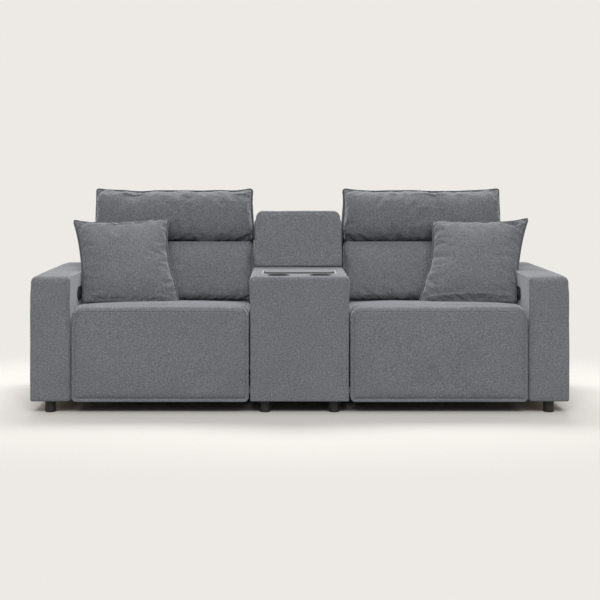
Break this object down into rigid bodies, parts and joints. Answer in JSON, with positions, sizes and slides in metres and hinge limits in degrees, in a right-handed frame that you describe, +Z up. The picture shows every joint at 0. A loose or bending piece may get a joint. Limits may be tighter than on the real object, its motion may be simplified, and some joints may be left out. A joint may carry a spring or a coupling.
{
  "type": "reclining sofa with drop-down console",
  "caption": "Upholstered reclining sofa with tilting headrests, swing-out footrests, a centre console with cup holders and a drop-down block, and throw pillows.",
  "frame": {"origin": "centre of the footprint on the floor", "axes": "+X to the viewer's right along the sofa, +Y to the rear, +Z up"},
  "size_m": [2.4, 1, 0.9848],
  "materials": {
    "upholstery": "heathered blue-grey boucle",
    "dust_cloth": "black non-woven cloth",
    "plywood": "raw",
    "steel": "dark powder coat",
    "nylon": "matt",
    "motor_case": "matt",
    "black_plastic": "satin",
    "button_plastic": "satin"
  },
  "bodies": {
    "base": {"left_arm_cover": "upholstery", "right_arm_cover": "upholstery", "left_arm_frame": "plywood", "right_arm_frame": "plywood", "left_cup_holder": "black_plastic", "right_cup_holder": "black_plastic", "left_base_rails": "steel", "right_base_rails": "steel", "left_control_plate": "black_plastic", "right_control_plate": "black_plastic", "console_cover": "upholstery", "console_frame": "plywood", "console_deck": "upholstery", "storage_tray": "black_plastic", "console_back_cover": "upholstery", "console_hinges": "steel", "feet": "black_plastic", "power_supply": "motor_case", "power_inlet": "black_plastic", "rear_panel": "upholstery", "dust_cover": "dust_cloth"},
    "console_block": {"block_cover": "upholstery", "block_board": "plywood"},
    "left_carriage": {"left_seat_frame": "plywood", "left_seat_plates": "steel", "left_seat_cushion": "upholstery", "left_drive_unit": "motor_case"},
    "left_nut": {"left_drive_nut": "nylon"},
    "left_rear_link_pair": {"left_rear_links": "steel"},
    "left_front_link_pair": {"left_front_links": "steel"},
    "left_footrest": {"left_footrest_board": "plywood", "left_footrest_pad": "upholstery"},
    "left_back": {"left_back_frame": "plywood", "left_lumbar_cushion": "upholstery", "left_back_shell": "upholstery", "left_headrest_motor": "motor_case"},
    "left_headrest": {"left_headrest_frame": "plywood", "left_headrest_cushion": "upholstery"},
    "left_pillow": {"left_throw_pillow": "upholstery"},
    "left_recline_rocker": {"left_recline_button": "button_plastic"},
    "left_headrest_rocker": {"left_headrest_button": "button_plastic"},
    "right_carriage": {"right_seat_frame": "plywood", "right_seat_plates": "steel", "right_seat_cushion": "upholstery", "right_drive_unit": "motor_case"},
    "right_nut": {"right_drive_nut": "nylon"},
    "right_rear_link_pair": {"right_rear_links": "steel"},
    "right_front_link_pair": {"right_front_links": "steel"},
    "right_footrest": {"right_footrest_board": "plywood", "right_footrest_pad": "upholstery"},
    "right_back": {"right_back_frame": "plywood", "right_lumbar_cushion": "upholstery", "right_back_shell": "upholstery", "right_headrest_motor": "motor_case"},
    "right_headrest": {"right_headrest_frame": "plywood", "right_headrest_cushion": "upholstery"},
    "right_pillow": {"right_throw_pillow": "upholstery"},
    "right_recline_rocker": {"right_recline_button": "button_plastic"},
    "right_headrest_rocker": {"right_headrest_button": "button_plastic"}
  },
  "joints": [
    {"name": "left_seat_slide", "type": "slide", "parent": "base", "child": "left_carriage", "axis": [0, -1, 0], "range_m": [0, 0.0905]},
    {"name": "left_recline", "type": "hinge", "parent": "left_carriage", "child": "left_back", "pos_m": [-0.621, 0.14, 0.42], "axis": [-1, 0, 0], "range_deg": [0, 38]},
    {"name": "left_headrest_tilt", "type": "hinge", "parent": "left_back", "child": "left_headrest", "pos_m": [-0.621, 0.17, 0.748], "axis": [1, 0, 0], "range_deg": [0, 25]},
    {"name": "left_rear_link_swing", "type": "hinge", "parent": "left_carriage", "child": "left_rear_link_pair", "pos_m": [-0.621, -0.376, 0.292], "axis": [-1, 0, 0], "range_deg": [0, 97]},
    {"name": "left_knee_swing", "type": "hinge", "parent": "left_rear_link_pair", "child": "left_front_link_pair", "pos_m": [-0.621, -0.343, 0.095], "axis": [1, 0, 0], "range_deg": [0, 136.5]},
    {"name": "left_footrest_swing", "type": "hinge", "parent": "left_front_link_pair", "child": "left_footrest", "pos_m": [-0.621, -0.422, 0.295], "axis": [-1, 0, 0], "range_deg": [0, 129.6]},
    {"name": "left_nut_travel", "type": "slide", "parent": "left_carriage", "child": "left_nut", "axis": [0, -0.999, 0.0456], "range_m": [0, 0.1505]},
    {"name": "left_pillow_lift", "type": "slide", "parent": "left_carriage", "child": "left_pillow", "axis": [0, -0.7071, 0.7071], "range_m": [0, 0.25]},
    {"name": "left_recline_button_rock", "type": "hinge", "parent": "base", "child": "left_recline_rocker", "pos_m": [-1.025, -0.24, 0.515], "axis": [0, 0, 1], "range_deg": [-5, 5], "stiffness_Nm_per_rad": 0.2},
    {"name": "left_headrest_button_rock", "type": "hinge", "parent": "base", "child": "left_headrest_rocker", "pos_m": [-1.025, -0.198, 0.515], "axis": [0, 0, 1], "range_deg": [-5, 5], "stiffness_Nm_per_rad": 0.2},
    {"name": "right_seat_slide", "type": "slide", "parent": "base", "child": "right_carriage", "axis": [0, -1, 0], "range_m": [0, 0.0905]},
    {"name": "right_recline", "type": "hinge", "parent": "right_carriage", "child": "right_back", "pos_m": [0.621, 0.14, 0.42], "axis": [-1, 0, 0], "range_deg": [0, 38]},
    {"name": "right_headrest_tilt", "type": "hinge", "parent": "right_back", "child": "right_headrest", "pos_m": [0.621, 0.17, 0.748], "axis": [1, 0, 0], "range_deg": [0, 25]},
    {"name": "right_rear_link_swing", "type": "hinge", "parent": "right_carriage", "child": "right_rear_link_pair", "pos_m": [0.621, -0.376, 0.292], "axis": [-1, 0, 0], "range_deg": [0, 97]},
    {"name": "right_knee_swing", "type": "hinge", "parent": "right_rear_link_pair", "child": "right_front_link_pair", "pos_m": [0.621, -0.343, 0.095], "axis": [1, 0, 0], "range_deg": [0, 136.5]},
    {"name": "right_footrest_swing", "type": "hinge", "parent": "right_front_link_pair", "child": "right_footrest", "pos_m": [0.621, -0.422, 0.295], "axis": [-1, 0, 0], "range_deg": [0, 129.6]},
    {"name": "right_nut_travel", "type": "slide", "parent": "right_carriage", "child": "right_nut", "axis": [0, -0.999, 0.0456], "range_m": [0, 0.1505]},
    {"name": "right_pillow_lift", "type": "slide", "parent": "right_carriage", "child": "right_pillow", "axis": [0, -0.7071, 0.7071], "range_m": [0, 0.25]},
    {"name": "right_recline_button_rock", "type": "hinge", "parent": "base", "child": "right_recline_rocker", "pos_m": [1.025, -0.24, 0.515], "axis": [0, 0, 1], "range_deg": [-5, 5], "stiffness_Nm_per_rad": 0.2},
    {"name": "right_headrest_button_rock", "type": "hinge", "parent": "base", "child": "right_headrest_rocker", "pos_m": [1.025, -0.198, 0.515], "axis": [0, 0, 1], "range_deg": [-5, 5], "stiffness_Nm_per_rad": 0.2},
    {"name": "block_drop", "type": "hinge", "parent": "base", "child": "console_block", "pos_m": [0, 0.082, 0.625], "axis": [1, 0, 0], "range_deg": [0, 96.5]}
  ],
  "couplings": [
    {"joint": "left_seat_slide", "follows": "left_recline", "m_per_rad": 0.1357},
    {"joint": "left_rear_link_swing", "follows": "left_recline", "ratio": 2.5474},
    {"joint": "left_knee_swing", "follows": "left_recline", "ratio": 3.5816},
    {"joint": "left_footrest_swing", "follows": "left_recline", "ratio": 3.4026},
    {"joint": "left_nut_travel", "follows": "left_recline", "m_per_rad": 0.22617},
    {"joint": "right_seat_slide", "follows": "right_recline", "m_per_rad": 0.1357},
    {"joint": "right_rear_link_swing", "follows": "right_recline", "ratio": 2.5474},
    {"joint": "right_knee_swing", "follows": "right_recline", "ratio": 3.5816},
    {"joint": "right_footrest_swing", "follows": "right_recline", "ratio": 3.4026},
    {"joint": "right_nut_travel", "follows": "right_recline", "m_per_rad": 0.22617}
  ]
}
